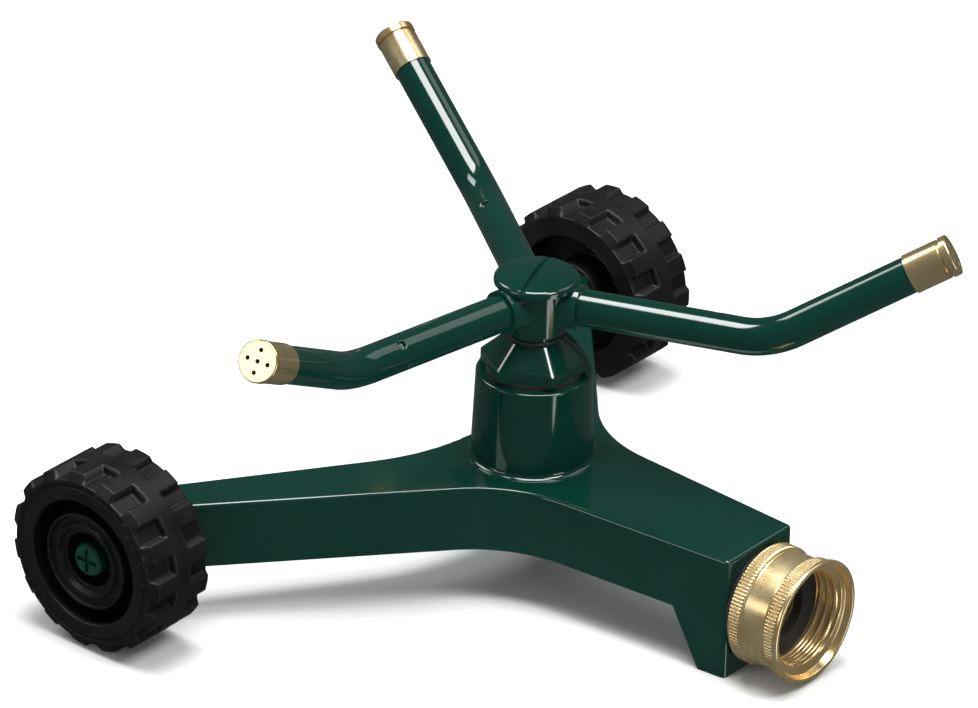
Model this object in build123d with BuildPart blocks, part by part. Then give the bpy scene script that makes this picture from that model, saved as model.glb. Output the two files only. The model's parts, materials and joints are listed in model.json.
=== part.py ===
from build123d import *
import math
import os

# Three-arm rotary garden sprinkler on a cast wheeled base.
# Frame: +Z up, X along the wheel axles, -Y towards the hose inlet.
# The origin is on the rotor's turning axis, at ground level.  Millimetres.

# ---- driving dimensions ----
# wheels and axles
wheel_radius = 24.6
wheel_width = 21.6
wheel_inner_x = 86.4
axle_y = 56.8
axle_z = wheel_radius
axle_radius = 4.42
axle_end_x = 106.3
axle_end_chamfer = 0.6
stake_depth = 0.7
stake_length = 6.4
stake_width = 1.1
running_gap = 0.08
lug_count = 15
lug_depth = 2.0

# cast base
deck_z = 33.4
deck_depth = 17.8
skirt_z = deck_z - deck_depth
wall = 3.0
inlet_half_width = 13.0
inlet_face_y = -73.6
leg_end_x = 84.5
boss_foot_radius = 15.8
boss_rim_radius = 14.9
boss_rim_z = 57.0
boss_cove = 1.4
boss_rim_fillet = 0.6
deck_edge_fillet = 1.0
end_corner_fillet = 1.2
heel_fillet = 1.6
passage_radius = 5.0
passage_tube_radius = 8.2

# hose inlet, all on one axis along Y
inlet_z = 17.6
stem_radius = 8.4
stem_bore = 5.5
collar_radius = 9.6
collar_end_y = -75.3
gasket_radius = 13.5
stem_flange_radius = 11.6
stem_flange_y = -78.35
stem_flange_thickness = 1.5
coupling_rear_y = -75.8
coupling_mouth_y = -91.8
coupling_wall_y = -78.2
coupling_lip_radius = 16.4
coupling_lip_y = -90.3
coupling_body_radius = 15.0
coupling_band_radius = 15.8
coupling_band_width = 3.0
mouth_radius = 15.2
mouth_floor_radius = 14.5
mouth_floor_y = -90.0
thread_radius = 12.35
washer_seat_radius = 12.9
thread_start_y = -82.4
thread_end_y = -89.2

# bearing inside the boss
cavity_radius = 9.5
cavity_floor_z = 41.0
spindle_radius = 5.0
spindle_bore = 3.0
spindle_flange_radius = 8.6
bush_radius = 5.9
bush_flange_radius = 6.9
bush_flange_z = 67.6
nut_bottom_z = 47.3
nut_hex_z = 58.3
nut_taper_z = 61.4
nut_hex_radius = 14.0
nut_top_z = 66.6
nut_top_radius = 8.0
nut_hex_angle = -1.5
nut_corner_fillet = 3.6

# rotor
arm_z = 76.6
arm_radius = 4.8
arm_bore = 3.6
arm_bend_distance = 61.5
arm_bend_radius = 24.0
arm_sweep = 18.5
# the three tubes are bent one by one, so their angles, rises and lengths differ a little
arm_angles = [52.6, 170.8, 290.6]
arm_rises = [30.8, 27.4, 29.4]
arm_outer_lengths = [52.6, 49.0, 51.5]
arm_start = 6.6
neck_radius = 6.8
neck_bottom_z = 67.9
head_bottom_z = 69.7
head_radius = 8.8
cap_bottom_z = 80.8
cap_under_z = 81.9
head_edge_z = 83.6
head_top_radius = 10.9
head_top_z = 84.8
head_edge_fillet = 1.3
head_cavity_z = 80.3
spindle_top_z = 72.2
socket_radius = 5.8
socket_reach = 12.0
slot_angle = 20.0
slot_width = 1.4
slot_floor_z = 83.3
nozzle_radius = 5.2
nozzle_rim_radius = 5.4
nozzle_groove_radius = 4.8
nozzle_rim_length = 2.0
nozzle_groove_length = 0.7
nozzle_length = 12.0
nozzle_plate = 2.2
tube_inset = 3.7
nozzle_edge_fillet = 0.4
end_gap = 0.1
jet_radius = 0.6
jet_circle = 2.9
mist_hole_radius = 1.1
mist_hole_distance = 47.0
mist_hole_tilt = 35.0
fit_gap = 0.02

os.makedirs("parts", exist_ok=True)


def save(builder, name):
    """Label a finished piece and write it as its own STEP file."""
    builder.part.label = name
    export_step(builder.part, "parts/" + name + ".step")


def ring(name, inner_radius, outer_radius, low_z, high_z):
    """A flat ring about the Z axis: washers, gaskets and seals."""
    with BuildPart() as part:
        with BuildSketch(Plane.XY.offset(low_z)):
            Circle(outer_radius)
            Circle(inner_radius, mode=Mode.SUBTRACT)
        extrude(amount=high_z - low_z)
    save(part, name)


# ---- base casting ----
front_corner = (17.6, -8.3)
leg_front_corner = (leg_end_x, 49.7)
leg_rear_corner = (leg_end_x, 63.7)
rear_notch = (0, 5.7)
front_flare = 36.0
rear_flare = 56.0


def base_outline():
    """The Y-shaped plan: one inlet leg and two wheel legs with wide concave flares."""
    right = [(inlet_half_width, inlet_face_y), front_corner, leg_front_corner, leg_rear_corner]
    left = [(-x, y) for x, y in reversed(right)]
    with BuildSketch(mode=Mode.PRIVATE) as plan:
        with BuildLine():
            Polyline(*right, rear_notch, *left, close=True)
        make_face()
        notch = plan.vertices().filter_by_position(Axis.X, -1, 1)
        fillet(notch, rear_flare)
        flares = plan.vertices().filter_by_position(Axis.Y, front_corner[1] - 1, front_corner[1] + 1)
        fillet(flares, front_flare)
        ends = plan.vertices().filter_by_position(Axis.Y, inlet_face_y - 1, inlet_face_y + 1)
        fillet(ends, end_corner_fillet)
    return plan.sketch


outline = base_outline()
inlet_axis = Axis((0, 0, inlet_z), (0, 1, 0))
axle_axis = Axis((0, axle_y, axle_z), (1, 0, 0))
end_block_y = -57.0
leg_block_x = 70.0
hub_column_radius = 12.5
foot_heel_y = -65.6
foot_top_y = -57.4
socket_depth_y = -61.5
clear_end = 100.0

with BuildPart() as base_casting:
    with BuildSketch():
        add(outline)
    extrude(amount=deck_z)
    fillet(base_casting.faces().sort_by(Axis.Z)[-1].edges(), deck_edge_fillet)
    # clear the ground under the legs; only the foot below the inlet comes down to it
    with BuildSketch(Plane.YZ) as clearance:
        with BuildLine():
            Polyline(
                (foot_heel_y, 0),
                (foot_top_y, skirt_z),
                (clear_end, skirt_z),
                (clear_end, 0),
                close=True,
            )
        make_face()
        fillet(clearance.vertices().filter_by_position(Axis.Y, foot_top_y - 1, foot_top_y + 1), heel_fillet)
    extrude(amount=clear_end, both=True, mode=Mode.SUBTRACT)
    # boss that carries the rotor bearing
    with BuildSketch(Plane.XZ):
        with BuildLine():
            Polyline(
                (boss_foot_radius, deck_z + boss_cove),
                (boss_rim_radius, boss_rim_z),
                (0, boss_rim_z),
                (0, deck_z - wall),
                (boss_foot_radius + boss_cove, deck_z - wall),
                (boss_foot_radius + boss_cove, deck_z),
            )
            RadiusArc(
                (boss_foot_radius + boss_cove, deck_z),
                (boss_foot_radius, deck_z + boss_cove),
                boss_cove,
            )
        make_face()
    revolve(axis=Axis.Z)
    rim = base_casting.faces().sort_by(Axis.Z)[-1].edges()
    fillet(rim, boss_rim_fillet)
    # hollow underside, leaving the hub column and the three solid ends
    with BuildSketch(Plane.XY.offset(skirt_z)):
        offset(outline, amount=-wall)
        Circle(hub_column_radius, mode=Mode.SUBTRACT)
        with Locations((0, end_block_y - 20)):
            Rectangle(60, 40, mode=Mode.SUBTRACT)
        with Locations((leg_block_x + 20, 50), (-leg_block_x - 20, 50)):
            Rectangle(40, 80, mode=Mode.SUBTRACT)
    extrude(amount=deck_depth - wall, mode=Mode.SUBTRACT)
    # cast water pipe from the inlet to the hub column
    with BuildSketch(Plane.XZ.offset(0)):
        with Locations((0, inlet_z)):
            Circle(passage_tube_radius)
    extrude(amount=-end_block_y)
    with BuildSketch(Plane.XY.offset(inlet_z - passage_tube_radius)):
        Circle(hub_column_radius - 1)
    extrude(amount=deck_z - wall - inlet_z + passage_tube_radius)
    # bores: water passage, inlet socket, riser, bearing cavity and axle holes
    with BuildSketch(Plane.XZ):
        with Locations((0, inlet_z)):
            Circle(passage_radius)
    extrude(amount=-inlet_face_y, mode=Mode.SUBTRACT)
    with BuildSketch(Plane.XZ.offset(-inlet_face_y)):
        with Locations((0, inlet_z)):
            Circle(stem_radius + fit_gap)
    extrude(amount=inlet_face_y - socket_depth_y, mode=Mode.SUBTRACT)
    with BuildSketch(Plane.XY.offset(inlet_z)):
        Circle(passage_radius)
    extrude(amount=cavity_floor_z - inlet_z, mode=Mode.SUBTRACT)
    with BuildSketch(Plane.XY.offset(cavity_floor_z)):
        Circle(cavity_radius)
    extrude(amount=boss_rim_z - cavity_floor_z, mode=Mode.SUBTRACT)
    # stub axles, staked with a cross at their ends to hold the wheels' push-on rings
    for side in (-1, 1):
        with BuildSketch(Plane.XY.offset(axle_z)):
            with BuildLine():
                Polyline(
                    (side * (leg_end_x - 1), axle_y),
                    (side * (leg_end_x - 1), axle_y + axle_radius),
                    (side * (axle_end_x - axle_end_chamfer), axle_y + axle_radius),
                    (side * axle_end_x, axle_y + axle_radius - axle_end_chamfer),
                    (side * axle_end_x, axle_y),
                    close=True,
                )
            make_face()
        revolve(axis=axle_axis)
        with BuildSketch(Plane.YZ.offset(side * (axle_end_x - stake_depth))):
            with Locations((axle_y, axle_z)):
                Rectangle(stake_length, stake_width)
                Rectangle(stake_width, stake_length)
        extrude(amount=side * 2 * stake_depth, mode=Mode.SUBTRACT)
save(base_casting, "base_casting")

# ---- hose inlet ----
with BuildPart() as inlet_stem:
    with BuildSketch(Plane.YZ):
        with BuildLine():
            Polyline(
                (socket_depth_y, inlet_z + stem_bore),
                (socket_depth_y, inlet_z + stem_radius),
                (inlet_face_y, inlet_z + stem_radius),
                (inlet_face_y, inlet_z + collar_radius),
                (collar_end_y, inlet_z + collar_radius),
                (collar_end_y, inlet_z + stem_radius),
                (stem_flange_y, inlet_z + stem_radius),
                (stem_flange_y, inlet_z + stem_flange_radius),
                (stem_flange_y - stem_flange_thickness, inlet_z + stem_flange_radius),
                (stem_flange_y - stem_flange_thickness, inlet_z + stem_bore),
                close=True,
            )
        make_face()
    revolve(axis=inlet_axis)
save(inlet_stem, "inlet_stem")

with BuildPart() as stem_gasket:
    with BuildSketch(Plane.XZ.offset(-inlet_face_y)):
        with Locations((0, inlet_z)):
            Circle(gasket_radius)
            Circle(collar_radius + fit_gap, mode=Mode.SUBTRACT)
    extrude(amount=inlet_face_y - collar_end_y)
save(stem_gasket, "stem_gasket")

with BuildPart() as swivel_coupling:
    with BuildSketch(Plane.YZ):
        with BuildLine():
            Polyline(
                (coupling_rear_y, inlet_z + stem_radius + running_gap),
                (coupling_rear_y, inlet_z + coupling_band_radius),
                (coupling_rear_y - coupling_band_width, inlet_z + coupling_band_radius),
                (coupling_rear_y - coupling_band_width, inlet_z + coupling_body_radius),
                (coupling_lip_y + coupling_band_width, inlet_z + coupling_body_radius),
                (coupling_lip_y + coupling_band_width, inlet_z + coupling_band_radius),
                (coupling_lip_y, inlet_z + coupling_band_radius),
                (coupling_lip_y, inlet_z + coupling_lip_radius),
                (coupling_mouth_y, inlet_z + coupling_lip_radius),
                (coupling_mouth_y, inlet_z + mouth_radius),
                (mouth_floor_y, inlet_z + mouth_floor_radius),
                (thread_end_y, inlet_z + thread_radius),
                (thread_start_y, inlet_z + thread_radius),
                (thread_start_y, inlet_z + washer_seat_radius),
                (coupling_wall_y, inlet_z + washer_seat_radius),
                (coupling_wall_y, inlet_z + stem_radius + running_gap),
                close=True,
            )
        make_face()
    revolve(axis=inlet_axis)
    lip = swivel_coupling.faces().sort_by(Axis.Y)[0].edges().sort_by(SortBy.LENGTH)[-1]
    fillet(lip, 0.8)
save(swivel_coupling, "swivel_coupling")

hose_washer_rear_y = stem_flange_y - stem_flange_thickness - 0.1
with BuildPart() as hose_washer:
    with BuildSketch(Plane.XZ.offset(-hose_washer_rear_y)):
        with Locations((0, inlet_z)):
            Circle(washer_seat_radius - 0.2)
            Circle(stem_bore + 1.3, mode=Mode.SUBTRACT)
    extrude(amount=hose_washer_rear_y - thread_start_y)
save(hose_washer, "hose_washer")

# ---- rotor bearing inside the boss ----
flange_bottom_z = 43.15
flange_top_z = 45.65
thrust_washer_z = 45.8
ring("seat_washer", spindle_radius + 0.2, cavity_radius - fit_gap, cavity_floor_z, flange_bottom_z - 0.15)
ring("thrust_washer", spindle_radius + 0.1, cavity_radius - 0.5, thrust_washer_z, nut_bottom_z)
ring("nut_gasket", cavity_radius, cavity_radius + 3.0, boss_rim_z, nut_hex_z)

with BuildPart() as bearing_nut:
    with BuildSketch(Plane.XY.offset(nut_hex_z)) as hexagon:
        RegularPolygon(nut_hex_radius, 6, rotation=nut_hex_angle)
    extrude(amount=nut_taper_z - nut_hex_z)
    with BuildSketch(Plane.XY.offset(nut_taper_z)):
        RegularPolygon(nut_hex_radius, 6, rotation=nut_hex_angle)
    with BuildSketch(Plane.XY.offset(nut_top_z)):
        RegularPolygon(nut_top_radius, 6, rotation=nut_hex_angle)
    loft()
    # the six long corners are cast soft
    upper_half = bearing_nut.edges().filter_by_position(Axis.Z, nut_taper_z + 1, nut_top_z - 1)
    fillet(upper_half, nut_corner_fillet)
    with BuildSketch(Plane.XY.offset(nut_bottom_z)):
        Circle(cavity_radius - fit_gap)
    extrude(amount=nut_hex_z - nut_bottom_z)
    with BuildSketch(Plane.XY.offset(nut_bottom_z)):
        Circle(bush_radius + fit_gap)
    extrude(amount=nut_top_z - nut_bottom_z, mode=Mode.SUBTRACT)
save(bearing_nut, "bearing_nut")

with BuildPart() as bearing_bush:
    with BuildSketch(Plane.XZ):
        with BuildLine():
            Polyline(
                (spindle_radius + running_gap, nut_bottom_z),
                (bush_radius, nut_bottom_z),
                (bush_radius, nut_top_z),
                (bush_flange_radius, nut_top_z),
                (bush_flange_radius, bush_flange_z),
                (spindle_radius + running_gap, bush_flange_z),
                close=True,
            )
        make_face()
    revolve(axis=Axis.Z)
save(bearing_bush, "bearing_bush")

# ---- rotor ----
pilot_radius = 4.6
pilot_bottom_z = 38.5
with BuildPart() as spindle:
    with BuildSketch(Plane.XZ):
        with BuildLine():
            Polyline(
                (spindle_bore, pilot_bottom_z),
                (pilot_radius, pilot_bottom_z),
                (pilot_radius, flange_bottom_z),
                (spindle_flange_radius, flange_bottom_z),
                (spindle_flange_radius, flange_top_z),
                (spindle_radius, flange_top_z),
                (spindle_radius, spindle_top_z),
                (spindle_bore, spindle_top_z),
                close=True,
            )
        make_face()
    revolve(axis=Axis.Z)
save(spindle, "spindle")

arm_planes = [
    Plane(origin=(0, 0, arm_z), x_dir=(0, 0, 1), z_dir=Vector(1, 0, 0).rotate(Axis.Z, angle))
    for angle in arm_angles
]
with BuildPart() as rotor_head:
    with BuildSketch(Plane.XZ):
        with BuildLine():
            Polyline(
                (0, head_top_z),
                (0, neck_bottom_z),
                (neck_radius, neck_bottom_z),
                (neck_radius, head_bottom_z),
                (head_radius, head_bottom_z),
                (head_radius, cap_bottom_z),
                (head_top_radius, cap_under_z),
                (head_top_radius, head_edge_z),
            )
            ThreePointArc(
                (head_top_radius, head_edge_z),
                (0.5 * head_top_radius, head_top_z - 0.3),
                (0, head_top_z),
            )
        make_face()
    revolve(axis=Axis.Z)
    fillet(rotor_head.edges().filter_by_position(Axis.Z, head_edge_z - 0.1, head_edge_z + 0.1), head_edge_fillet)
    for plane in arm_planes:
        with BuildSketch(plane):
            Circle(socket_radius)
        extrude(amount=socket_reach)
    with BuildSketch(Plane.XY.offset(neck_bottom_z)):
        Circle(spindle_radius + fit_gap)
    extrude(amount=head_cavity_z - neck_bottom_z, mode=Mode.SUBTRACT)
    for plane in arm_planes:
        with BuildSketch(plane):
            Circle(arm_bore)
        extrude(amount=socket_reach, mode=Mode.SUBTRACT)
        with BuildSketch(plane.offset(arm_start - fit_gap)):
            Circle(arm_radius + fit_gap)
        extrude(amount=socket_reach - arm_start + 1, mode=Mode.SUBTRACT)
    with BuildSketch(Plane.XY.offset(slot_floor_z)):
        Rectangle(3 * head_radius, slot_width, rotation=slot_angle)
    extrude(amount=head_top_z - slot_floor_z + 1, mode=Mode.SUBTRACT)
save(rotor_head, "rotor_head")

# each arm runs out level, then bends up and round; the nozzle caps its end
bend_corner = Vector(arm_bend_distance, 0, arm_z)
for number, angle in enumerate(arm_angles, start=1):
    rise = math.radians(arm_rises[number - 1])
    sweep_angle = math.radians(arm_sweep)
    mist_hole_lean = math.radians(mist_hole_tilt)
    outer_direction = Vector(
        math.cos(sweep_angle) * math.cos(rise),
        math.sin(sweep_angle) * math.cos(rise),
        math.sin(rise),
    )
    arm_tip = bend_corner + outer_direction * arm_outer_lengths[number - 1]
    tube_end = arm_tip - outer_direction * tube_inset
    nozzle_back = arm_tip - outer_direction * nozzle_length

    def turned(point):
        """The same point on this arm: turned about the rotor's axis."""
        return point.rotate(Axis.Z, angle)

    with BuildPart() as arm:
        with BuildLine():
            FilletPolyline(
                turned(Vector(arm_start, 0, arm_z)),
                turned(bend_corner),
                turned(tube_end),
                radius=arm_bend_radius,
            )
        with BuildSketch(Plane(origin=turned(Vector(arm_start, 0, arm_z)), z_dir=turned(Vector(1, 0, 0)))):
            Circle(arm_radius)
            Circle(arm_bore, mode=Mode.SUBTRACT)
        sweep()
        # the mist hole looks up and to the side the arm bends towards
        mist_origin = turned(Vector(mist_hole_distance, 0, arm_z))
        mist_direction = turned(Vector(0, math.sin(mist_hole_lean), math.cos(mist_hole_lean)))
        with BuildSketch(Plane(origin=mist_origin, z_dir=mist_direction)):
            Circle(mist_hole_radius)
        extrude(amount=2 * arm_radius, mode=Mode.SUBTRACT)
    save(arm, "arm_" + str(number))

    with BuildPart() as nozzle:
        back = Plane(origin=turned(nozzle_back), z_dir=turned(outer_direction))
        groove_start = nozzle_length - nozzle_rim_length - nozzle_groove_length
        with BuildSketch(back):
            Circle(nozzle_radius)
        extrude(amount=groove_start)
        with BuildSketch(back.offset(groove_start)):
            Circle(nozzle_groove_radius)
        extrude(amount=nozzle_groove_length)
        with BuildSketch(back.offset(nozzle_length - nozzle_rim_length)):
            Circle(nozzle_rim_radius)
        extrude(amount=nozzle_rim_length)
        nozzle_axis = Axis(turned(nozzle_back), turned(outer_direction))
        fillet(nozzle.edges().sort_by(nozzle_axis)[-1], nozzle_edge_fillet)
        # bore: the tube's socket, then the chamber behind the plate, then five jets
        with BuildSketch(back):
            Circle(arm_radius + fit_gap)
        extrude(amount=nozzle_length - tube_inset + end_gap, mode=Mode.SUBTRACT)
        with BuildSketch(back):
            Circle(arm_bore)
        extrude(amount=nozzle_length - nozzle_plate, mode=Mode.SUBTRACT)
        with BuildSketch(back):
            Circle(jet_radius)
            with PolarLocations(jet_circle, 4):
                Circle(jet_radius)
        extrude(amount=nozzle_length, mode=Mode.SUBTRACT)
    save(nozzle, "nozzle_" + str(number))

# ---- wheels ----
web_inner = 8.0
web_outer = 10.6
rim_inner_radius = 16.8
rim_outer_radius = 22.2
hub_radius = 13.0
hub_hole_radius = 7.3
inner_hub_radius = 9.0
hub_step = 1.0
lug_gap_width = 4.0
lug_gap_length = 7.0

for side, name in ((-1, "left"), (1, "right")):
    inner_x = side * wheel_inner_x

    def wheel_point(depth, radius):
        """A point of the wheel's section: depth from its inner face, and distance from the axle."""
        return (inner_x + side * depth, axle_y + radius)

    with BuildPart() as wheel:
        with BuildSketch(Plane.XY.offset(axle_z)):
            with BuildLine():
                Polyline(
                    wheel_point(0, axle_radius + running_gap),
                    wheel_point(0, inner_hub_radius),
                    wheel_point(web_inner, inner_hub_radius),
                    wheel_point(web_inner, rim_inner_radius),
                    wheel_point(0, rim_inner_radius),
                    wheel_point(0, rim_outer_radius),
                    wheel_point(1.5, wheel_radius),
                    wheel_point(wheel_width - 1.5, wheel_radius),
                    wheel_point(wheel_width, rim_outer_radius),
                    wheel_point(wheel_width, rim_inner_radius),
                    wheel_point(web_outer, rim_inner_radius),
                    wheel_point(web_outer, hub_radius),
                    wheel_point(wheel_width - hub_step, hub_radius),
                    wheel_point(wheel_width - hub_step, hub_hole_radius),
                    wheel_point(web_outer, hub_hole_radius),
                    wheel_point(web_outer, axle_radius + running_gap),
                    close=True,
                )
            make_face()
        revolve(axis=axle_axis)
        # two staggered rows of gaps between the tread lugs
        for row, depth in enumerate((0, wheel_width)):
            gap_plane = Plane(origin=(inner_x + side * depth, axle_y, axle_z), x_dir=(0, 0, -1), z_dir=(1, 0, 0))
            with BuildSketch(gap_plane) as gaps:
                with PolarLocations(wheel_radius, lug_count, start_angle=(row + 0.5) * 180 / lug_count):
                    Rectangle(2 * lug_depth, lug_gap_width)
            extrude(amount=lug_gap_length, both=True, mode=Mode.SUBTRACT)
    save(wheel, "wheel_" + name)

    with BuildPart() as wheel_washer:
        with BuildSketch(Plane.YZ.offset(side * leg_end_x)):
            with Locations((axle_y, axle_z)):
                Circle(inner_hub_radius - 1)
                Circle(axle_radius + fit_gap, mode=Mode.SUBTRACT)
        extrude(amount=side * (wheel_inner_x - leg_end_x - 0.3))
    save(wheel_washer, "wheel_washer_" + name)

    with BuildPart() as push_ring:
        with BuildSketch(Plane.YZ.offset(side * (wheel_inner_x + web_outer + 0.3))):
            with Locations((axle_y, axle_z)):
                Circle(hub_hole_radius - 0.4)
                Circle(axle_radius + fit_gap, mode=Mode.SUBTRACT)
        extrude(amount=side * 0.9)
    save(push_ring, "push_ring_" + name)
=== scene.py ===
# %% [markdown]
# # A three-arm garden sprinkler
# This lesson dresses a finished engineering model of a lawn sprinkler for a studio picture.
# The model already holds every solid in its right place, in metres, with Z up.  We load it
# once as a fixed frame, and never move or reshape what it brings.  Parts whose shape is
# already right only get a better material.  Parts that need finer detail than a machine
# drawing gives, such as a screw thread, a knurl or a tyre tread, are worked out again here
# as surfaces and stand in for the plain solids.

# %% Load the fixed frame
import json
import math

import bpy
import numpy as np
from mathutils import Matrix, Vector


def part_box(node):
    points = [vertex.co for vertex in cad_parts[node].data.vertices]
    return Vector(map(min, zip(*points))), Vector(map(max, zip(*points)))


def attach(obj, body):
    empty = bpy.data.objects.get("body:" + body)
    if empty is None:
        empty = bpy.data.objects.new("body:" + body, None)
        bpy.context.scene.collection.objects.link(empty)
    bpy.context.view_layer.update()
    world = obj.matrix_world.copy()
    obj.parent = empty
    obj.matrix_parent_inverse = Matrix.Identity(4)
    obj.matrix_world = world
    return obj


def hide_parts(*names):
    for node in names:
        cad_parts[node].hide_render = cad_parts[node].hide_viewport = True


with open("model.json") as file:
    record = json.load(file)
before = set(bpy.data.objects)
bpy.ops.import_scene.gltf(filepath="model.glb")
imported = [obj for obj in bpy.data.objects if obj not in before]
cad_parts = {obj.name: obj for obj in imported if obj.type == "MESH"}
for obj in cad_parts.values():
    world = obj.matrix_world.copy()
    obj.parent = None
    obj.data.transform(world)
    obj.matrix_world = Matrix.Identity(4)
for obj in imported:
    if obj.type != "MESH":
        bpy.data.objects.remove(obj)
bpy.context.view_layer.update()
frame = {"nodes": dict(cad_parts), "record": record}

nodes = frame["nodes"]
MM = 0.001
TAU = 2 * math.pi

# %% [markdown]
# ## The camera
# A long lens keeps the near and the far wheel almost the same size, as in a catalogue
# picture.  We could rotate the camera with Euler angles, but three unit vectors are easier
# to reason about: one points back from the object to the camera, one to the right of the
# view, and one up.  They are the columns of the camera's matrix.

# %% Camera first
CAMERA_AZIMUTH = math.radians(-51.05)
CAMERA_ELEVATION = math.radians(27.96)
CAMERA_ROLL = math.radians(1.27)
CAMERA_DISTANCE = 1.79
CAMERA_TARGET = Vector((-0.0184, 0.0, 0.0683))
CAMERA_LENS = 262.4
SENSOR_WIDTH = 36.0
NEAREST_SEEN = 0.1
FARTHEST_SEEN = 20.0


def camera_axes(azimuth, elevation, roll):
    """Right, up and back: back points at the camera, right is level, then both turn by the roll."""
    back = Vector((
        math.sin(azimuth) * math.cos(elevation),
        -math.cos(azimuth) * math.cos(elevation),
        math.sin(elevation),
    ))
    right = Vector((math.cos(azimuth), math.sin(azimuth), 0.0))
    up = back.cross(right)
    turned_right = right * math.cos(roll) + up * math.sin(roll)
    turned_up = up * math.cos(roll) - right * math.sin(roll)
    return turned_right, turned_up, back


camera_right, camera_up, camera_back = camera_axes(CAMERA_AZIMUTH, CAMERA_ELEVATION, CAMERA_ROLL)
camera = bpy.data.objects.new("Camera", bpy.data.cameras.new("Camera"))
bpy.context.scene.collection.objects.link(camera)
camera.data.lens = CAMERA_LENS
camera.data.sensor_width = SENSOR_WIDTH
camera.data.clip_start = NEAREST_SEEN
camera.data.clip_end = FARTHEST_SEEN
camera.matrix_world = (
    Matrix.Translation(CAMERA_TARGET + camera_back * CAMERA_DISTANCE)
    @ Matrix((camera_right, camera_up, camera_back)).transposed().to_4x4()
)
bpy.context.scene.camera = camera
print("Camera is", CAMERA_DISTANCE, "m away")
print("It looks down by", round(math.degrees(CAMERA_ELEVATION), 1), "degrees")

# %% [markdown]
# ## Light
# Dark glossy enamel shows almost nothing of its own colour: what we read as its shape is
# the reflection of the lamps.  So the lamps are placed for their reflections.  A square
# softbox almost straight above draws the thin bright line along each arm and the light
# upper faces of the casting, and a second one high behind the sprinkler lights the far
# slopes.  The brightest for its size is a small square above the side that the inlet is on.
# A tall strip low on that side draws the upright streak down the boss and the head.  Two
# fills, one beyond the head and one low at the left, open up the shadows.
# The floor is pale to the eye but hidden from glossy rays, because a pale floor mirrored
# in every upright wall would wash the green out.

# %% Lamps
MIDDLE = (0.0, 0.0, 0.05)


def add_lamp(name, position, width, height, radiance):
    """A rectangle that shines from position towards MIDDLE.  Watts = radiance x area x pi."""
    data = bpy.data.lights.new(name, "AREA")
    data.shape = "RECTANGLE"
    data.size = width
    data.size_y = height
    data.energy = radiance * width * height * math.pi
    lamp = bpy.data.objects.new(name, data)
    bpy.context.scene.collection.objects.link(lamp)
    lamp.location = position
    lamp.rotation_euler = (Vector(MIDDLE) - Vector(position)).to_track_quat("-Z", "Y").to_euler()
    lamp.visible_camera = False
    print(name, "gives", round(data.energy, 2), "watts")


def toward(azimuth, elevation, distance=1.4):
    """A point at an azimuth from +X round to +Y and an elevation above level, both in degrees."""
    turn, rise = math.radians(azimuth), math.radians(elevation)
    level = distance * math.cos(rise)
    return level * math.cos(turn), level * math.sin(turn), distance * math.sin(rise)


add_lamp("Softbox_Above", (-0.05, 0.05, 1.3), width=0.72, height=0.72, radiance=12.0)
add_lamp("Softbox_Behind", toward(102, 44), width=0.55, height=0.45, radiance=6.0)
add_lamp("Key_Inlet_Side", toward(275, 59), width=0.42, height=0.42, radiance=15.0)
add_lamp("Fill_Beyond_Head", toward(335, 50), width=0.85, height=0.6, radiance=1.2)
add_lamp("Strip_Inlet_Side", (-0.1, -1.3, -0.25), width=0.42, height=1.3, radiance=3.0)
add_lamp("Fill_Left", toward(160, 21), width=0.5, height=0.4, radiance=2.6)

# %% World: one even light for the room, and a dimmer one that only reflections see
ROOM_STRENGTH = 0.34
MIRRORED_STRENGTH = 0.075
world = bpy.data.worlds.new("Studio")
bpy.context.scene.world = world
world.use_nodes = True
sky = world.node_tree
sky.nodes.clear()
sky_out = sky.nodes.new("ShaderNodeOutputWorld")
sky_paths = sky.nodes.new("ShaderNodeLightPath")
sky_room = sky.nodes.new("ShaderNodeBackground")
sky_room.inputs["Color"].default_value = (0.95, 1.0, 1.0, 1.0)
sky_room.inputs["Strength"].default_value = ROOM_STRENGTH
sky_mirror = sky.nodes.new("ShaderNodeBackground")
sky_mirror.inputs["Color"].default_value = (0.9, 1.0, 1.0, 1.0)
sky_mirror.inputs["Strength"].default_value = MIRRORED_STRENGTH
sky_mix = sky.nodes.new("ShaderNodeMixShader")
sky.links.new(sky_paths.outputs["Is Glossy Ray"], sky_mix.inputs["Fac"])
sky.links.new(sky_room.outputs["Background"], sky_mix.inputs[1])
sky.links.new(sky_mirror.outputs["Background"], sky_mix.inputs[2])
sky.links.new(sky_mix.outputs["Shader"], sky_out.inputs["Surface"])
bpy.context.scene.view_settings.view_transform = "Standard"
bpy.context.scene.view_settings.look = "None"
print("The room shines at", ROOM_STRENGTH, "and is mirrored at", MIRRORED_STRENGTH)

# %% Floor
FLOOR_HALF = 3.0
floor_mesh = bpy.data.meshes.new("Floor")
floor_corners = [
    (-FLOOR_HALF, -FLOOR_HALF, 0),
    (FLOOR_HALF, -FLOOR_HALF, 0),
    (FLOOR_HALF, FLOOR_HALF, 0),
    (-FLOOR_HALF, FLOOR_HALF, 0),
]
floor_mesh.from_pydata(floor_corners, [], [(0, 1, 2, 3)])
floor = bpy.data.objects.new("Floor", floor_mesh)
bpy.context.scene.collection.objects.link(floor)
floor.visible_glossy = False
print("Floor is", 2 * FLOOR_HALF, "m wide")

# %% [markdown]
# ## Materials
# Each finish is one node tree.  Effects that several finishes share, such as fine surface
# grain or light edges that stand for both wear and a painted highlight, are node groups with
# named inputs, so that every finish can set its own scale.  Patterns read Object
# coordinates, which are real metres here, so a grain of 0.3 mm is 0.3 mm on every part.

# %% Node helpers
def new_node(tree, kind, **settings):
    """Adds a node; settings are its properties, or its inputs where no property has the name."""
    node = tree.nodes.new(kind)
    for key, value in settings.items():
        if hasattr(node, key):
            setattr(node, key, value)
        else:
            node.inputs[key.replace("_", " ")].default_value = value
    return node


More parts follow.
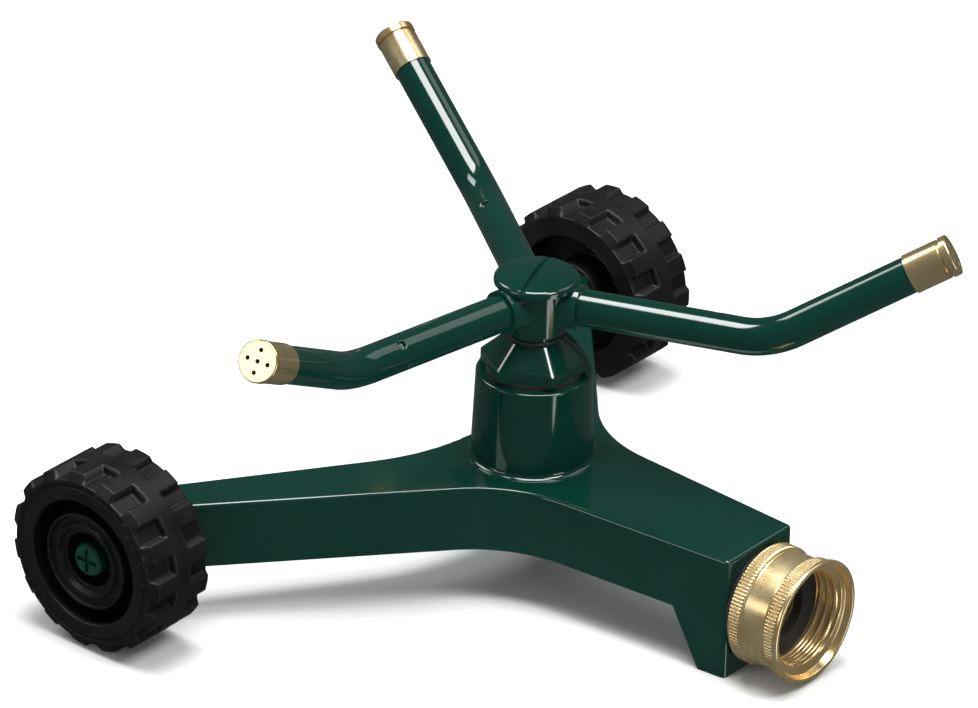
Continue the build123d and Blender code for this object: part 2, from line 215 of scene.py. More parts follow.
def new_group(name, inputs, outputs):
    """An empty shader node group with float or vector sockets, made from two dictionaries."""
    kinds = {"float": "NodeSocketFloat", "vector": "NodeSocketVector"}
    group = bpy.data.node_groups.new(name, "ShaderNodeTree")
    for socket, (kind, value) in inputs.items():
        made = group.interface.new_socket(socket, in_out="INPUT", socket_type=kinds[kind])
        made.default_value = value
    for socket, kind in outputs.items():
        group.interface.new_socket(socket, in_out="OUTPUT", socket_type=kinds[kind])
    return group, group.nodes.new("NodeGroupInput"), group.nodes.new("NodeGroupOutput")


# %% Shared effect: grain, noise of a stated size as a height, and blotches 25 times as wide
MM_IN_METRE = 1000.0
BLOTCH_SCALE = 0.04
grain, grain_in, grain_out = new_group(
    "Grain",
    {
        "Size mm": ("float", 0.5),
        "Seed": ("float", 0.0),
        "Stretch": ("vector", (1.0, 1.0, 1.0)),
    },
    {"Height": "float", "Blotch": "float"},
)
grain_place = new_node(grain, "ShaderNodeTexCoord")
grain_stretch = new_node(grain, "ShaderNodeVectorMath", operation="MULTIPLY")
grain.links.new(grain_place.outputs["Object"], grain_stretch.inputs[0])
grain.links.new(grain_in.outputs["Stretch"], grain_stretch.inputs[1])
grain_scale = new_node(grain, "ShaderNodeMath", operation="DIVIDE")
grain_scale.inputs[0].default_value = MM_IN_METRE
grain.links.new(grain_in.outputs["Size mm"], grain_scale.inputs[1])
grain_fine = new_node(grain, "ShaderNodeTexNoise", noise_dimensions="4D", Detail=2.0)
grain_wide = new_node(grain, "ShaderNodeTexNoise", noise_dimensions="4D", Detail=3.0)
grain_wide_scale = new_node(grain, "ShaderNodeMath", operation="MULTIPLY")
grain_wide_scale.inputs[1].default_value = BLOTCH_SCALE
grain.links.new(grain_stretch.outputs[0], grain_fine.inputs["Vector"])
grain.links.new(grain_place.outputs["Object"], grain_wide.inputs["Vector"])
for noise in (grain_fine, grain_wide):
    grain.links.new(grain_in.outputs["Seed"], noise.inputs["W"])
grain.links.new(grain_scale.outputs[0], grain_fine.inputs["Scale"])
grain.links.new(grain_scale.outputs[0], grain_wide_scale.inputs[0])
grain.links.new(grain_wide_scale.outputs[0], grain_wide.inputs["Scale"])
grain.links.new(grain_fine.outputs["Fac"], grain_out.inputs["Height"])
grain.links.new(grain_wide.outputs["Fac"], grain_out.inputs["Blotch"])
print("Grain has", len(grain.nodes), "nodes")

# %% Shared effect: edge wear and painted highlight, a speckled mask on outside corners that is 0 on flats
SPECKLES_PER_METRE = 1000.0
# This mask lightens outside corners: partly real wear, partly a painted highlight where edges catch the
# light.
wear_and_highlight, wear_and_highlight_in, wear_and_highlight_out = new_group(
    "Edge Wear And Highlight",
    {"Amount": ("float", 0.5)},
    {"Mask": "float"},
)
wear_and_highlight_point = new_node(wear_and_highlight, "ShaderNodeNewGeometry")
wear_and_highlight_range = new_node(wear_and_highlight, "ShaderNodeMapRange", From_Min=0.52, From_Max=0.62)
wear_and_highlight_noise = new_node(wear_and_highlight, "ShaderNodeTexNoise", Scale=SPECKLES_PER_METRE, Detail=4.0)
wear_and_highlight_place = new_node(wear_and_highlight, "ShaderNodeTexCoord")
wear_and_highlight_speckle = new_node(wear_and_highlight, "ShaderNodeMapRange", From_Min=0.35, From_Max=0.65)
wear_and_highlight_mix = new_node(wear_and_highlight, "ShaderNodeMath", operation="MULTIPLY")
wear_and_highlight_amount = new_node(wear_and_highlight, "ShaderNodeMath", operation="MULTIPLY", use_clamp=True)
wear_and_highlight.links.new(wear_and_highlight_place.outputs["Object"], wear_and_highlight_noise.inputs["Vector"])
wear_and_highlight.links.new(wear_and_highlight_noise.outputs["Fac"], wear_and_highlight_speckle.inputs["Value"])
wear_and_highlight.links.new(wear_and_highlight_point.outputs["Pointiness"], wear_and_highlight_range.inputs["Value"])
wear_and_highlight.links.new(wear_and_highlight_range.outputs["Result"], wear_and_highlight_mix.inputs[0])
wear_and_highlight.links.new(wear_and_highlight_speckle.outputs["Result"], wear_and_highlight_mix.inputs[1])
wear_and_highlight.links.new(wear_and_highlight_mix.outputs[0], wear_and_highlight_amount.inputs[0])
wear_and_highlight.links.new(wear_and_highlight_in.outputs["Amount"], wear_and_highlight_amount.inputs[1])
wear_and_highlight.links.new(wear_and_highlight_amount.outputs[0], wear_and_highlight_out.inputs["Mask"])
print("Edge Wear And Highlight has", len(wear_and_highlight.nodes), "nodes")

# %% [markdown]
# Every finish below follows one recipe: a dark and a light tone mixed by broad blotches, a
# lighter tone on the outside corners that is partly wear and partly a painted highlight, a
# roughness that drifts between two values, and a fine bump.  A function lays down those
# nodes once, and each finish then sets the shader's own sockets, such as coat or metal.

# %% One recipe for every finish
def new_finish(
    name, tones, worn_and_highlight_tone, rough, grain_mm, bump_mm, seed, wear_and_highlight_amount=0.6, stretch=(1, 1, 1), **shader
):
    """Mixes two tones by blotches, lightens corners for wear and a painted highlight, drifts the roughness
    and bumps by the grain.
    """
    material = bpy.data.materials.new(name)
    material.use_nodes = True
    tree = material.node_tree
    tree.nodes.clear()
    out = new_node(tree, "ShaderNodeOutputMaterial")
    body = new_node(tree, "ShaderNodeBsdfPrincipled")
    for socket, value in shader.items():
        body.inputs[socket.replace("_", " ")].default_value = value
    grain_node = new_node(tree, "ShaderNodeGroup", node_tree=grain)
    grain_node.inputs["Size mm"].default_value = grain_mm
    grain_node.inputs["Seed"].default_value = seed
    grain_node.inputs["Stretch"].default_value = stretch
    wear_and_highlight_node = new_node(tree, "ShaderNodeGroup", node_tree=wear_and_highlight)
    wear_and_highlight_node.inputs["Amount"].default_value = wear_and_highlight_amount
    blotches = new_node(tree, "ShaderNodeMix", data_type="RGBA")
    blotches.inputs["A"].default_value = (*tones[0], 1.0)
    blotches.inputs["B"].default_value = (*tones[1], 1.0)
    # Wear and painted highlight: the corner mask mixes in a lighter tone on outside edges.
    corners = new_node(tree, "ShaderNodeMix", data_type="RGBA")
    corners.inputs["B"].default_value = (*worn_and_highlight_tone, 1.0)
    contrast = new_node(tree, "ShaderNodeMapRange", From_Min=0.3, From_Max=0.7)
    drift = new_node(tree, "ShaderNodeMapRange", To_Min=rough[0], To_Max=rough[1])
    bump = new_node(tree, "ShaderNodeBump", Strength=1.0, Distance=bump_mm * MM)
    tree.links.new(grain_node.outputs["Blotch"], contrast.inputs["Value"])
    tree.links.new(contrast.outputs["Result"], blotches.inputs["Factor"])
    tree.links.new(contrast.outputs["Result"], drift.inputs["Value"])
    tree.links.new(blotches.outputs["Result"], corners.inputs["A"])
    tree.links.new(wear_and_highlight_node.outputs["Mask"], corners.inputs["Factor"])
    tree.links.new(corners.outputs["Result"], body.inputs["Base Color"])
    tree.links.new(drift.outputs["Result"], body.inputs["Roughness"])
    tree.links.new(grain_node.outputs["Height"], bump.inputs["Height"])
    tree.links.new(bump.outputs["Normal"], body.inputs["Normal"])
    tree.links.new(body.outputs["BSDF"], out.inputs["Surface"])
    return material


# %% [markdown]
# ### Green enamel
# The casting, its nut, the head and the arms wear a thick gloss coat of very dark green
# enamel.  One plain colour would do, but the real coat is a pigment under a clear skin, so
# a coat layer with its own low roughness lies over a slightly rougher green.

# %% Green enamel
green_enamel = new_finish(
    "green_enamel_finish",
    tones=((0.0005, 0.021, 0.0142), (0.0010, 0.028, 0.0195)),
    # Lighter green on outside corners: partly chipped wear, partly a painted highlight.
    worn_and_highlight_tone=(0.010, 0.060, 0.045),
    rough=(0.09, 0.16),
    grain_mm=1.6, bump_mm=0.006, seed=1.0, wear_and_highlight_amount=0.35, Coat_Weight=0.6, Coat_Roughness=0.04,
)
print(green_enamel.name, "has", len(green_enamel.node_tree.nodes), "nodes")

# %% [markdown]
# ### Brass
# The nozzles, the spindle and the stem are machined, and the hose coupling is turned on a
# lathe.  Both are the same metal, so they share their tones.  A lathe leaves rings round
# the piece: its grain is drawn out round the coupling's axis, which lies along Y, by
# squeezing X and Z before the noise reads them.

# %% Brass, machined and turned
BRASS_TONES = ((0.82, 0.58, 0.26), (0.97, 0.77, 0.43))
# Paler brass on outside corners: partly rubbed wear, partly a painted highlight.
BRASS_WORN_AND_HIGHLIGHT = (1.0, 0.86, 0.56)
machined_brass = new_finish(
    "machined_brass_finish", BRASS_TONES, BRASS_WORN_AND_HIGHLIGHT,
    rough=(0.16, 0.28),
    grain_mm=0.4, bump_mm=0.004, seed=2.0, wear_and_highlight_amount=0.4, Metallic=0.93,
)
turned_brass = new_finish(
    "turned_brass_finish", BRASS_TONES, BRASS_WORN_AND_HIGHLIGHT,
    rough=(0.18, 0.30),
    grain_mm=0.35, bump_mm=0.003, seed=2.5, wear_and_highlight_amount=0.2, stretch=(0.06, 1.0, 0.06), Metallic=0.88,
)
print("Brass is", machined_brass.name, "and", turned_brass.name)

# %% [markdown]
# ### Blacks
# The wheels are moulded plastic with a fine matte texture, the gaskets are rubber, and the
# bearing bush is nylon.  All three are nearly black, so what tells them apart is how rough
# they are and how deep their grain is, and not their colour.

# %% Moulded plastic, rubber and nylon
moulded_black = new_finish(
    "moulded_black_finish",
    tones=((0.0035, 0.0035, 0.0040), (0.0070, 0.0070, 0.0075)),
    # Lighter grey on outside corners such as the tread lug edges: partly wear, partly a painted highlight.
    worn_and_highlight_tone=(0.050, 0.050, 0.053),
    rough=(0.36, 0.50),
    grain_mm=0.35, bump_mm=0.034, seed=3.0, wear_and_highlight_amount=0.8, Specular_IOR_Level=0.3,
)
black_rubber = new_finish(
    "black_rubber_finish",
    tones=((0.008, 0.008, 0.008), (0.014, 0.014, 0.014)),
    worn_and_highlight_tone=(0.030, 0.030, 0.030),
    rough=(0.6, 0.75),
    grain_mm=0.25, bump_mm=0.020, seed=4.0,
)
black_nylon = new_finish(
    "black_nylon_finish",
    tones=((0.012, 0.012, 0.013), (0.022, 0.022, 0.023)),
    worn_and_highlight_tone=(0.040, 0.040, 0.042),
    rough=(0.35, 0.5),
    grain_mm=0.3, bump_mm=0.010, seed=5.0,
)
print("The blacks are", moulded_black.name, black_rubber.name, "and", black_nylon.name)

# %% [markdown]
# ### Steels
# The wheel washers are zinc-plated, bright and slightly blue, and the push rings that hold
# the wheels on are blackened.  Both are full metals, whose tone is how much they mirror
# of each colour, so the black one is a dark mirror and not a black paint.

# %% Zinc-plated and blackened steel
zinc_steel = new_finish(
    "zinc_steel_finish",
    tones=((0.45, 0.46, 0.48), (0.62, 0.63, 0.65)),
    worn_and_highlight_tone=(0.75, 0.76, 0.78),
    rough=(0.25, 0.40),
    grain_mm=0.8, bump_mm=0.006, seed=6.0, Metallic=1.0,
)
blackened_steel = new_finish(
    "blackened_steel_finish",
    tones=((0.030, 0.029, 0.030), (0.055, 0.053, 0.055)),
    worn_and_highlight_tone=(0.30, 0.29, 0.29),
    rough=(0.30, 0.45),
    grain_mm=0.5, bump_mm=0.008, seed=7.0, Metallic=1.0,
)
print("The steels are", zinc_steel.name, "and", blackened_steel.name)

# %% [markdown]
# ## Carried-over parts
# The casting, the head, the nozzles, the washers and the gaskets keep their solids.  Each
# one names a material slot in the record, so a dictionary from slot to finish dresses them
# all.

# %% Dress the parts that keep their shape
finish_of_slot = {
    "green_enamel": green_enamel,
    "brass": machined_brass,
    "wheel_plastic": moulded_black,
    "black_rubber": black_rubber,
    "black_nylon": black_nylon,
    "steel": zinc_steel,
    "blackened_steel": blackened_steel,
}
for row in frame["record"]["subparts"]:
    part = nodes[row["node"]]
    part.data.materials.clear()
    part.data.materials.append(finish_of_slot[row["material_slot"]])
print("Dressed", len(nodes), "parts")

# %% [markdown]
# ## Surfaces from arrays
# The remaining parts are made of surfaces.  A surface here is a grid of points: rows run
# along a section or a path, and columns run round an axis.  When both directions close on
# themselves the mesh has no open seam and no pole, like the skin of a ring doughnut, and a
# wall of real thickness comes out by itself, because the section goes out one way and back
# the other.

# %% From a grid of points to a mesh
def skin(name, points, finish):
    """Joins a closed grid of points, rows by columns, with quads, and turns them outwards.

    The volume under a face is the triple product of its corners; where the whole sum is
    negative, the faces point inwards and their corner order is reversed.
    """
    rows, columns = points.shape[:2]
    row, column = np.meshgrid(np.arange(rows), np.arange(columns), indexing="ij")
    next_row, next_column = (row + 1) % rows, (column + 1) % columns
    quads = np.stack([
        row * columns + column,
        next_row * columns + column,
        next_row * columns + next_column,
        row * columns + next_column,
    ], axis=-1).reshape(-1, 4)
    flat = points.reshape(-1, 3)
    a, b, c, d = (flat[quads[:, k]] for k in range(4))
    first_half = np.einsum("ij,ij->i", a, np.cross(b, c))
    second_half = np.einsum("ij,ij->i", a, np.cross(c, d))
    volume = (first_half + second_half).sum() / 6
    if volume < 0:
        quads = quads[:, ::-1]
    mesh = bpy.data.meshes.new(name)
    mesh.from_pydata(flat.tolist(), [], quads.tolist())
    around = mesh.uv_layers.new(name="Section")
    uv = np.stack([
        np.stack([row, row + 1, row + 1, row], -1) / rows,
        np.stack([column, column, column + 1, column + 1], -1) / columns,
    ], -1).reshape(-1, 4, 2)
    if volume < 0:
        uv = uv[:, ::-1]
    around.data.foreach_set("uv", uv.ravel())
    mesh.polygons.foreach_set("use_smooth", np.ones(len(quads), bool))
    mesh.materials.append(finish)
    mesh.update()
    piece = bpy.data.objects.new(name, mesh)
    bpy.context.scene.collection.objects.link(piece)
    print(name, "has", len(quads), "faces and holds", round(abs(volume) * 1e6, 2), "cubic cm")
    return piece


# %% [markdown]
# ### Outlines with round corners
# A moulded or turned part has no perfectly sharp corner, and it is the light on the small
# round of an edge that makes it look real.  A Bevel modifier could round the edges later,
# but it would not know an outline's corners from the steps of a tread.  So the outline's
# own corners are rounded first, and its long runs then get evenly spaced points.

# %% Rounded corners and evenly filled runs
ARC_POINTS = 5


def rounded(corners):
    """Rounds each corner of a closed outline with an arc of the radius that is its third number.

    The arc's centre lies on the corner's bisector at radius / sin(half angle); its points
    turn from one tangent point to the other by spherical interpolation.
    """
    corner, radius = np.split(np.asarray(corners, float), [2], axis=1)
    to_last = np.roll(corner, 1, axis=0) - corner
    to_next = np.roll(corner, -1, axis=0) - corner
    to_last /= np.linalg.norm(to_last, axis=1, keepdims=True)
    to_next /= np.linalg.norm(to_next, axis=1, keepdims=True)
    half = np.arccos(np.clip((to_last * to_next).sum(1, keepdims=True), -1, 1)) / 2
    bisector = to_last + to_next
    bisector /= np.linalg.norm(bisector, axis=1, keepdims=True)
    centre = corner + bisector * radius / np.sin(half)
    reach = radius / np.tan(half)
    start = (corner + to_last * reach - centre) / radius
    end = (corner + to_next * reach - centre) / radius
    sweep = math.pi - 2 * half
    w = np.linspace(0, 1, ARC_POINTS)[None, :, None]
    sweep = sweep[:, :, None]
    arc = (np.sin((1 - w) * sweep) * start[:, None] + np.sin(w * sweep) * end[:, None]) / np.sin(sweep)
    return (centre[:, None] + radius[:, :, None] * arc).reshape(-1, 2)


def filled_in(outline, longest):
    """Adds evenly spaced points on every run of a closed outline that is longer than longest."""
    after = np.roll(outline, -1, axis=0)
    pieces = np.maximum(1, np.ceil(np.linalg.norm(after - outline, axis=1) / longest)).astype(int)
    run = np.repeat(np.arange(len(outline)), pieces)
    step = np.arange(pieces.sum()) - np.repeat(np.cumsum(pieces) - pieces, pieces)
    return outline[run] + (after - outline)[run] * (step / pieces[run])[:, None]


def smooth_step(value, low, high):
    """0 below low, 1 above high, and a smooth S in between: 3t^2 - 2t^3."""
    t = np.clip((value - low) / (high - low), 0, 1)
    return t * t * (3 - 2 * t)


print("Each rounded corner has", ARC_POINTS, "points")

# %% [markdown]
# ## The brass hose coupling
# A garden hose screws into this swivel nut.  Outside it has two knurled bands for the
# fingers and a flared lip; inside runs a coarse screw thread.  Knurl and thread could be
# cut with hundreds of boolean operations, which is slow and leaves ragged faces.  It is
# simpler to start from the section, turn it round the axis, and then move each point in or
# out by a formula of its angle and its place along the axis.  Each corner of the section
# is a distance, a radius, and the radius of its rounding.

# %% Coupling section, in millimetres: distance in front of the rear face, and radius
coupling_low, coupling_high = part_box("swivel_coupling")
COUPLING_REAR = coupling_high.y / MM
COUPLING_LENGTH = (coupling_high.y - coupling_low.y) / MM
LIP_RADIUS = (coupling_high.x - coupling_low.x) / 2 / MM
INLET_Z = (coupling_high.z + coupling_low.z) / 2 / MM
BAND_WIDTH, BAND_SLOPE, BAND_RADIUS, BODY_RADIUS = 3.1, 0.7, 15.8, 14.9
LIP_START, LIP_SLOPE, WALL, STEM_HOLE = 14.4, 0.35, 2.4, 8.48
SEAT, SEAT_SLOPE, CREST, MOUTH_RADIUS, MOUTH_FLOOR, MOUTH_DEPTH = 12.9, 0.2, 12.35, 15.2, 14.5, 1.8
THREAD_START, THREAD_END = 6.6, 13.4
COUPLING_SPACING = 0.28
second_band = LIP_START - BAND_WIDTH
coupling_corners = [
    (0, STEM_HOLE, 0.2),
    (0, BAND_RADIUS, 0.35),
    (BAND_WIDTH, BAND_RADIUS, 0.35),
    (BAND_WIDTH + BAND_SLOPE, BODY_RADIUS, 0.5),
    (second_band - BAND_SLOPE, BODY_RADIUS, 0.5),
    (second_band, BAND_RADIUS, 0.35),
    (LIP_START, BAND_RADIUS, 0.15),
    (LIP_START + LIP_SLOPE, LIP_RADIUS, 0.3),
    (COUPLING_LENGTH, LIP_RADIUS, 0.6),
    (COUPLING_LENGTH, MOUTH_RADIUS, 0.4),
    (COUPLING_LENGTH - MOUTH_DEPTH, MOUTH_FLOOR, 0.3),
    (THREAD_END, CREST, 0.2),
    (THREAD_START, CREST, 0.1),
    (THREAD_START - SEAT_SLOPE, SEAT, 0.1),
    (WALL, SEAT, 0.2),
    (WALL, STEM_HOLE, 0.2),
]
coupling_outline = filled_in(rounded(coupling_corners), COUPLING_SPACING)
print("The coupling's section has", len(coupling_outline), "points")

# %% Coupling surface: knurl outside, thread inside
KNURL_TEETH = 104
KNURL_DEPTH = 0.48
KNURL_FADES_FROM, KNURL_FULL_FROM = 0.3, 0.05
TOOTH_COLUMNS = 4
INCH, THREADS_PER_INCH = 25.4, 11.5
THREAD_PITCH = INCH / THREADS_PER_INCH
THREAD_DEPTH, THREAD_RUN_IN = 1.05, 1.2
THREAD_MEAN, THREAD_SWING = 0.5, 0.8
CLEAR = 0.1


def coupling_points():
    """Radius = section radius - knurl groove + thread groove.

    A knurl groove is |2u - 1| of the tooth fraction u, on the two bands only.  A thread
    groove is a clipped cosine of (distance / pitch - turn), which winds on one pitch a turn.
    """
    along, radius = coupling_outline[:, :1], coupling_outline[:, 1:]
    columns = KNURL_TEETH * TOOTH_COLUMNS
    turn = (np.arange(columns) / columns)[None, :]
    tooth = np.abs(2 * ((turn * KNURL_TEETH) % 1) - 1)
    high_up = smooth_step(radius, BAND_RADIUS - KNURL_FADES_FROM, BAND_RADIUS - KNURL_FULL_FROM)
    on_band = high_up * (along < LIP_START - CLEAR)
    wave = THREAD_MEAN + THREAD_SWING * np.cos(TAU * (along / THREAD_PITCH - turn))
    thread_stop = COUPLING_LENGTH - MOUTH_DEPTH - CLEAR
    threaded = (radius < MOUTH_FLOOR) & (along > THREAD_START - CLEAR) & (along < thread_stop)
    fade = smooth_step(along, THREAD_START, THREAD_START + THREAD_RUN_IN)
    root = CREST + smooth_step(wave, 0, 1) * THREAD_DEPTH * fade
    moved = np.where(threaded, np.maximum(radius, root), radius - KNURL_DEPTH * on_band * tooth)
    angle = turn * TAU
    y = COUPLING_REAR - np.broadcast_to(along, moved.shape)
    return np.stack([moved * np.cos(angle), y, INLET_Z + moved * np.sin(angle)], -1) * MM


coupling = skin("Hose_Coupling", coupling_points(), turned_brass)
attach(coupling, "coupling")
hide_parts("swivel_coupling")

# %% [markdown]
# ## The wheels
# Each wheel is one moulding with a chunky tread: gaps cut in from both edges, the two rows
# half a gap's spacing apart, so that a zigzag band is left between them.  Blocks could be
# modelled one by one and arrayed, but then every joint needs care.  Here the section is
# turned round the axle, and the tread is a height map on it: where a gap lies, the radius
# drops to the gap's floor.

# %% Wheel section, in millimetres: depth from the inner face, and radius
wheel_low, wheel_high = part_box("wheel_right")
WHEEL_INNER_X = wheel_low.x / MM
WHEEL_WIDTH = (wheel_high.x - wheel_low.x) / MM
WHEEL_RADIUS = (wheel_high.z - wheel_low.z) / 2 / MM
AXLE_Y = (wheel_high.y + wheel_low.y) / 2 / MM
AXLE_Z = (wheel_high.z + wheel_low.z) / 2 / MM
SHOULDER_RADIUS, SHOULDER_WIDTH, RIM_RADIUS, HUB_RADIUS, HUB_HOLE = 22.2, 1.5, 16.8, 13.0, 7.3
WEB_INNER, WEB_OUTER, AXLE_HOLE, INNER_HUB = 8.0, 10.6, 4.5, 9.0
RECESS_RADIUS, RECESS_FLOOR, RECESS_DEPTH = 9.1, 8.6, 1.4
HUB_FACE = WHEEL_WIDTH - 1.0


def groove(face, outer, inner, depth, slope, rounding):
    """Four corners of a groove sunk depth into a face, whose walls lean in by slope."""
    floor_depth = face - depth
    return [
        (face, outer, rounding),
        (floor_depth, outer - slope, rounding),
        (floor_depth, inner + slope, rounding),
        (face, inner, rounding),
    ]


wheel_corners = rounded([
    (0, AXLE_HOLE, 0.3),
    (0, INNER_HUB, 0.4),
    (WEB_INNER, INNER_HUB, 0.4),
    (WEB_INNER, RIM_RADIUS, 0.4),
    (0, RIM_RADIUS, 0.5),
    (0, SHOULDER_RADIUS, 0.4),
    (SHOULDER_WIDTH, WHEEL_RADIUS, 0.4),
    (WHEEL_WIDTH - SHOULDER_WIDTH, WHEEL_RADIUS, 0.4),
    (WHEEL_WIDTH, SHOULDER_RADIUS, 0.4),
    *groove(WHEEL_WIDTH, outer=21.4, inner=20.3, depth=0.35, slope=0.3, rounding=0.15),
    (WHEEL_WIDTH, RIM_RADIUS, 0.6),
    (WEB_OUTER, RIM_RADIUS, 0.6),
    (WEB_OUTER, HUB_RADIUS, 0.6),
    (HUB_FACE, HUB_RADIUS, 0.35),
    *groove(HUB_FACE, outer=12.2, inner=9.9, depth=0.9, slope=0.4, rounding=0.2),
    (HUB_FACE, RECESS_RADIUS, 0.2),
    (HUB_FACE - RECESS_DEPTH, RECESS_FLOOR, 0.2),
    (HUB_FACE - RECESS_DEPTH, HUB_HOLE, 0.3),
    (WEB_OUTER, HUB_HOLE, 0.4),
    (WEB_OUTER, AXLE_HOLE, 0.2),
])
print("The wheel is", round(2 * WHEEL_RADIUS, 1), "mm across and", round(WHEEL_WIDTH, 1), "mm wide")

# %% [markdown]
# ### The tread
# Where a gap ends, the surface turns down within a third of a millimetre.  Evenly spaced
# points could straddle that slope and make its edge ragged, so the outline gets three
# points of its own at each of the two gap ends: before, in and after the slope.

# %% Tread: the points at the gap ends
LUGS = 15
LUG_COLUMNS = 22
GAP_LENGTH, GAP_SHARE, GAP_DEPTH, GAP_SLOPE = 8.2, 0.48, 2.2, 0.16
CORNERS_BEFORE_TREAD = 7
WHEEL_SPACING = 0.62
gap_ends = [
    (middle + offset, WHEEL_RADIUS)
    for middle in (GAP_LENGTH, WHEEL_WIDTH - GAP_LENGTH)
    for offset in (-GAP_SLOPE, 0, GAP_SLOPE)
]
with_gap_ends = np.insert(wheel_corners, CORNERS_BEFORE_TREAD * ARC_POINTS, gap_ends, axis=0)
wheel_outline = filled_in(with_gap_ends, WHEEL_SPACING)
print("The wheel's section has", len(wheel_outline), "points")


# %% Wheel surfaces
def wheel_points(side):
    """Radius = section radius, capped at the gap floor wherever a gap's mask is 1.

    Along the axle a gap runs from either edge to GAP_LENGTH; round the wheel it takes
    GAP_SHARE of each lug's turn, and the two rows are half a lug's turn apart.
    """
    depth, radius = wheel_outline[:, :1], wheel_outline[:, 1:]
    columns = LUGS * LUG_COLUMNS
    turn = (np.arange(columns) / columns)[None, :]
    floor_radius = WHEEL_RADIUS - GAP_DEPTH
    moved = np.broadcast_to(radius, (len(depth), columns)).copy()
    slope = 0.5 / LUG_COLUMNS
    for from_edge, shift in ((depth, 0.0), (WHEEL_WIDTH - depth, 0.5)):
        from_middle = np.abs((turn * LUGS + shift) % 1 - 0.5)
        across = smooth_step(-from_middle, -GAP_SHARE / 2 - slope, -GAP_SHARE / 2 + slope)
        lengthwise = smooth_step(-from_edge, -GAP_LENGTH - GAP_SLOPE, -GAP_LENGTH + GAP_SLOPE)
        moved -= np.maximum(radius - floor_radius, 0) * across * lengthwise
    angle = turn * TAU
    x = side * (WHEEL_INNER_X + np.broadcast_to(depth, moved.shape))
    return np.stack([x, AXLE_Y + moved * np.cos(angle), AXLE_Z + moved * np.sin(angle)], -1) * MM


for side, word in ((-1, "left"), (1, "right")):
    wheel = skin("Wheel_" + word.title(), wheel_points(side), moulded_black)
    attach(wheel, word + "_wheel")
    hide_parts("wheel_" + word)

# %% [markdown]
# ## The arms
# Each arm is a steel tube that leaves the head level and then bends up and round in one
# arc.  A curve object with a bevel would make a tube too, but a formula gives us the wall,
# the bore and the small spray hole, which leans to the side that the arm bends to, in one
# grid.  The path is a straight, an arc and a straight.  Clipping the distance along the
# path to each of the three parts and adding up what each part travels gives every point at
# once.

# %% Arm sizes, in millimetres and degrees
ARM_Z, ARM_RADIUS, ARM_BORE = 76.6, 4.8, 3.6
ARM_START, BEND_AT, BEND_RADIUS, TUBE_SHORT_OF_TIP = 6.6, 61.5, 24.0, 3.7
ARM_SWEEP = 18.5
ARM_ANGLES = [52.6, 170.8, 290.6]
ARM_RISES = [30.8, 27.4, 29.4]
ARM_OUTER_LENGTHS = [52.6, 49.0, 51.5]
MIST_HOLE_AT, MIST_HOLE_RADIUS, MIST_HOLE_DEPTH = 47.0, 1.1, 1.15
MIST_HOLE_LEAN = math.radians(35.0)
HOLE_SLOPE, FINE_REACH, FACING_HOLE = 0.12, 1.5, 0.5
ROWS_TO_HOLE, ROWS_AT_HOLE, ROWS_TO_TIP, ROWS_IN_BORE = 36, 30, 90, 50
ARM_COLUMNS = 160
LEVEL = np.array([1.0, 0.0, 0.0])


def arm_path(distance, rise, outer_length):
    """Centre and direction across the bend at each distance, then the bend's axis and the length.

    The direction turns from level to outward through the arc; what each of the three parts
    travels is the distance clipped to that part.
    """
    sweep = math.radians(ARM_SWEEP)
    outward = np.array([
        math.cos(sweep) * math.cos(rise), math.sin(sweep) * math.cos(rise), math.sin(rise),
    ])
    bend_angle = math.acos(outward @ LEVEL)
    bend_side = (outward - LEVEL * (outward @ LEVEL)) / math.sin(bend_angle)
    reach = BEND_RADIUS * math.tan(bend_angle / 2)
    straight = BEND_AT - reach - ARM_START
    arc = BEND_RADIUS * bend_angle
    length = straight + arc + outer_length - TUBE_SHORT_OF_TIP - reach
    distance = np.clip(distance, 0, length)[:, None]
    first = np.clip(distance, 0, straight)
    turned = np.clip(distance - straight, 0, arc) / BEND_RADIUS
    last = np.clip(distance - straight - arc, 0, None)
    centre = (
        np.array([ARM_START, 0, ARM_Z]) + LEVEL * first
        + BEND_RADIUS * (np.sin(turned) * LEVEL + (1 - np.cos(turned)) * bend_side)
        + outward * last
    )
    across = np.cos(turned) * bend_side - np.sin(turned) * LEVEL
    return centre, across, np.cross(LEVEL, bend_side), length


def turned_about_z(points, angle):
    """Rotation by angle degrees about the rotor's axis: x cos - y sin, x sin + y cos."""
    turn = math.radians(angle)
    spin = np.array([
        [math.cos(turn), -math.sin(turn), 0],
        [math.sin(turn), math.cos(turn), 0],
        [0, 0, 1],
    ])
    return points @ spin.T


for rise, outer_length in zip(ARM_RISES, ARM_OUTER_LENGTHS):
    tube_length = float(arm_path(np.zeros(1), math.radians(rise), outer_length)[3])
    print("An arm that rises", rise, "degrees has", round(tube_length, 1), "mm of tube")


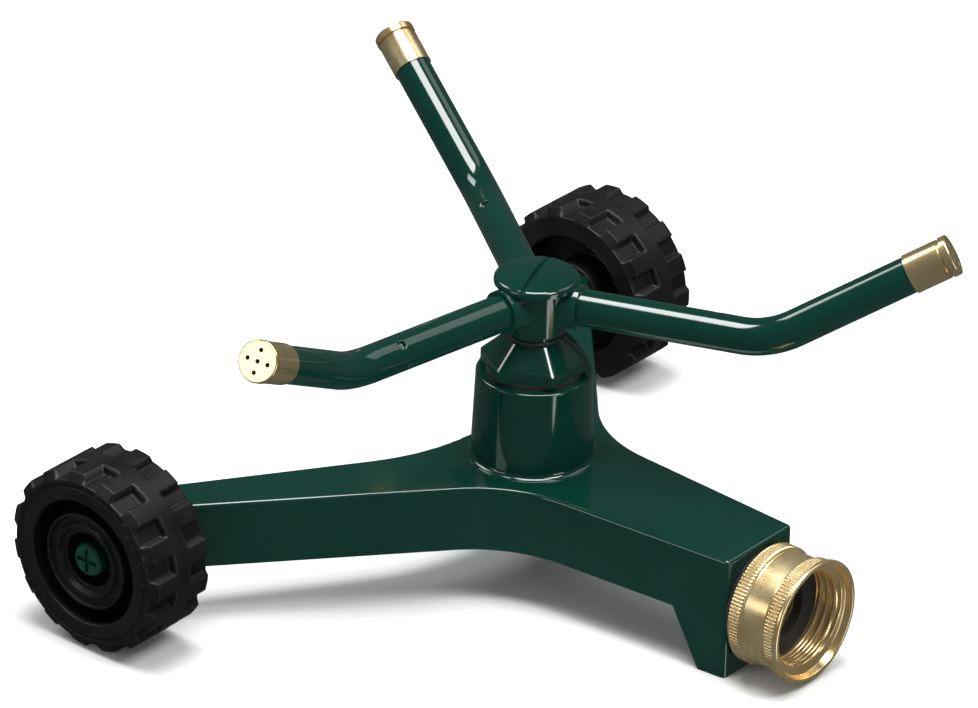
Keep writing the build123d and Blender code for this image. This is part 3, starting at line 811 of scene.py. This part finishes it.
# %% Arm surfaces
def arm_points(angle, rise, outer_length):
    """Centre + radius x (cos t x across + sin t x bend axis), out along the wall, back in the bore.

    Where the wall is nearer to the hole's axis than its radius, it is sunk along that axis.
    """
    hole = MIST_HOLE_AT - ARM_START
    length = arm_path(np.zeros(1), rise, outer_length)[3]
    out_way = np.concatenate([
        np.linspace(0, hole - FINE_REACH, ROWS_TO_HOLE, endpoint=False),
        np.linspace(hole - FINE_REACH, hole + FINE_REACH, ROWS_AT_HOLE, endpoint=False),
        np.linspace(hole + FINE_REACH, length, ROWS_TO_TIP),
    ])
    back_way = np.linspace(length, 0, ROWS_IN_BORE)
    distance = np.concatenate([out_way, back_way])
    radius = np.concatenate([np.full(len(out_way), ARM_RADIUS), np.full(len(back_way), ARM_BORE)])
    t = np.arange(ARM_COLUMNS) / ARM_COLUMNS * TAU
    centre, across, bend_axis, _ = arm_path(distance, rise, outer_length)
    cos_t, sin_t = np.cos(t)[None, :, None], np.sin(t)[None, :, None]
    ring = across[:, None] * cos_t + bend_axis[None, None] * sin_t
    points = centre[:, None] + ring * radius[:, None, None]
    hole_axis = np.array([0, math.sin(MIST_HOLE_LEAN), math.cos(MIST_HOLE_LEAN)])
    beside_hole = points - np.array([MIST_HOLE_AT, 0, ARM_Z])
    from_hole = np.linalg.norm(np.cross(beside_hole, hole_axis), axis=-1)
    facing = (ring @ hole_axis > FACING_HOLE) & (radius[:, None] > ARM_BORE)
    sunk = facing * smooth_step(-from_hole, -MIST_HOLE_RADIUS - HOLE_SLOPE, -MIST_HOLE_RADIUS + HOLE_SLOPE)
    points -= MIST_HOLE_DEPTH * sunk[..., None] * hole_axis
    return turned_about_z(points, angle) * MM


arm_sizes = zip(ARM_ANGLES, ARM_RISES, ARM_OUTER_LENGTHS)
for number, (angle, rise, outer_length) in enumerate(arm_sizes, start=1):
    points = arm_points(angle, math.radians(rise), outer_length)
    arm = skin("Arm_Tube_" + str(number), points, green_enamel)
    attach(arm, "rotor")
    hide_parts("arm_" + str(number))

# %% [markdown]
# ## The floor's finish, and the last lines
# The floor only has to be pale and plain, with a soft shadow where the sprinkler stands.

# %% Floor finish
floor_finish = new_finish(
    "floor_finish",
    tones=((0.86, 0.86, 0.86), (0.90, 0.90, 0.90)),
    worn_and_highlight_tone=(0.90, 0.90, 0.90),
    rough=(0.8, 0.9),
    grain_mm=2.0, bump_mm=0.002, seed=9.0, wear_and_highlight_amount=0.0,
)
floor_mesh.materials.append(floor_finish)
print("The floor wears", floor_finish.name)
